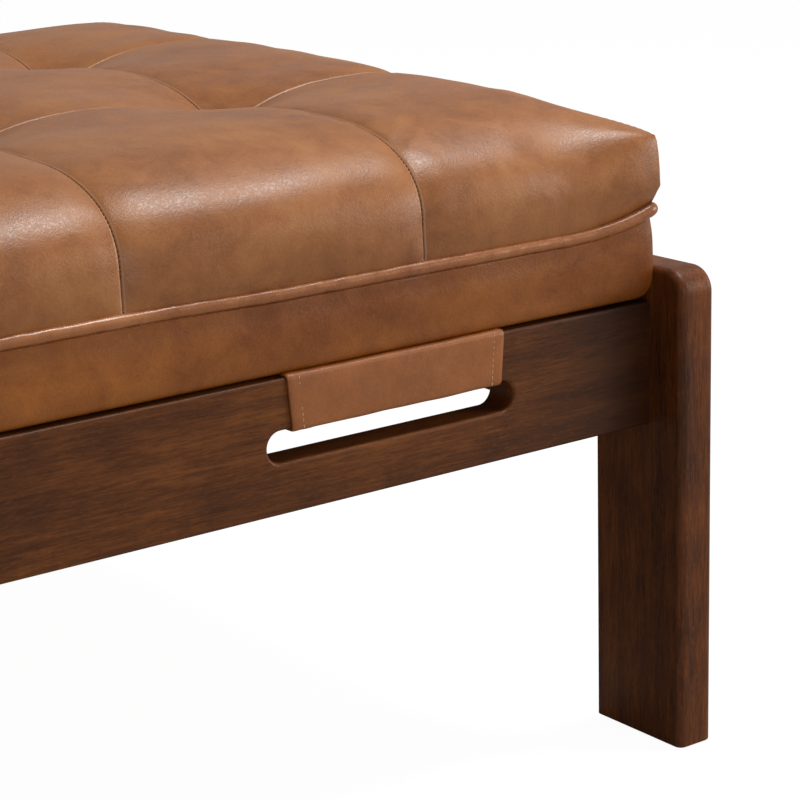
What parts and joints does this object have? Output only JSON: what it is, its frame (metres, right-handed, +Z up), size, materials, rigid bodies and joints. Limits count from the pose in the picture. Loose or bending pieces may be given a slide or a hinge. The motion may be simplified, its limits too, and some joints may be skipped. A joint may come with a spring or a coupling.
{
  "type": "ottoman coffee table",
  "caption": "Low rectangular ottoman coffee table: tufted leather cushion with piped edge on a dark wood frame with slab legs and sleeved hand slots.",
  "frame": {"origin": "on the floor, under the middle of the table", "axes": "+X along the long side to the right, +Y to the back, +Z up"},
  "size_m": [1.12, 0.775, 0.4745],
  "materials": {
    "stained_hardwood": "dark walnut stain under a satin lacquer",
    "plain_hardwood": "sanded, unfinished",
    "plywood": "raw plywood",
    "cushion_leather": "caramel pull-up leather, mottled, soft sheen",
    "sleeve_leather": "caramel leather with pale stitching",
    "foam": "cut polyurethane foam",
    "batting": "bonded polyester fibre",
    "dust_cover": "black non-woven",
    "twine": "waxed upholstery twine",
    "glide": "moulded nylon",
    "zinc_steel": "zinc plated"
  },
  "bodies": {
    "root": {"band_front": "cushion_leather", "band_left": "cushion_leather", "band_rear": "cushion_leather", "band_right": "cushion_leather", "base_foam": "foam", "batting": "batting", "block_screws": "zinc_steel", "bolt_washers": "zinc_steel", "cleat_screws": "zinc_steel", "corner_blocks": "plain_hardwood", "cross_slats": "plain_hardwood", "dust_cover": "dust_cover", "front_apron": "stained_hardwood", "front_ledger": "plain_hardwood", "glide_nails": "zinc_steel", "handle_sleeve_front_left": "sleeve_leather", "handle_sleeve_front_right": "sleeve_leather", "handle_sleeve_rear_left": "sleeve_leather", "handle_sleeve_rear_right": "sleeve_leather", "ledger_screws": "zinc_steel", "left_cleat": "plain_hardwood", "left_end_rail": "stained_hardwood", "leg_bolts": "zinc_steel", "leg_front_left": "stained_hardwood", "leg_front_right": "stained_hardwood", "leg_glides": "glide", "leg_inserts": "zinc_steel", "leg_rear_left": "stained_hardwood", "leg_rear_right": "stained_hardwood", "piping": "cushion_leather", "rail_dowels": "plain_hardwood", "rear_apron": "stained_hardwood", "rear_ledger": "plain_hardwood", "right_cleat": "plain_hardwood", "right_end_rail": "stained_hardwood", "seat_board": "plywood", "seat_screws": "zinc_steel", "seat_staples": "zinc_steel", "slat_screws": "zinc_steel", "top_foam": "foam", "top_panel_front_1": "cushion_leather", "top_panel_front_2": "cushion_leather", "top_panel_front_3": "cushion_leather", "top_panel_front_4": "cushion_leather", "top_panel_front_5": "cushion_leather", "top_panel_middle_1": "cushion_leather", "top_panel_middle_2": "cushion_leather", "top_panel_middle_3": "cushion_leather", "top_panel_middle_4": "cushion_leather", "top_panel_middle_5": "cushion_leather", "top_panel_rear_1": "cushion_leather", "top_panel_rear_2": "cushion_leather", "top_panel_rear_3": "cushion_leather", "top_panel_rear_4": "cushion_leather", "top_panel_rear_5": "cushion_leather", "tuft_twines": "twine", "tuft_washers": "zinc_steel"}
  },
  "joints": []
}
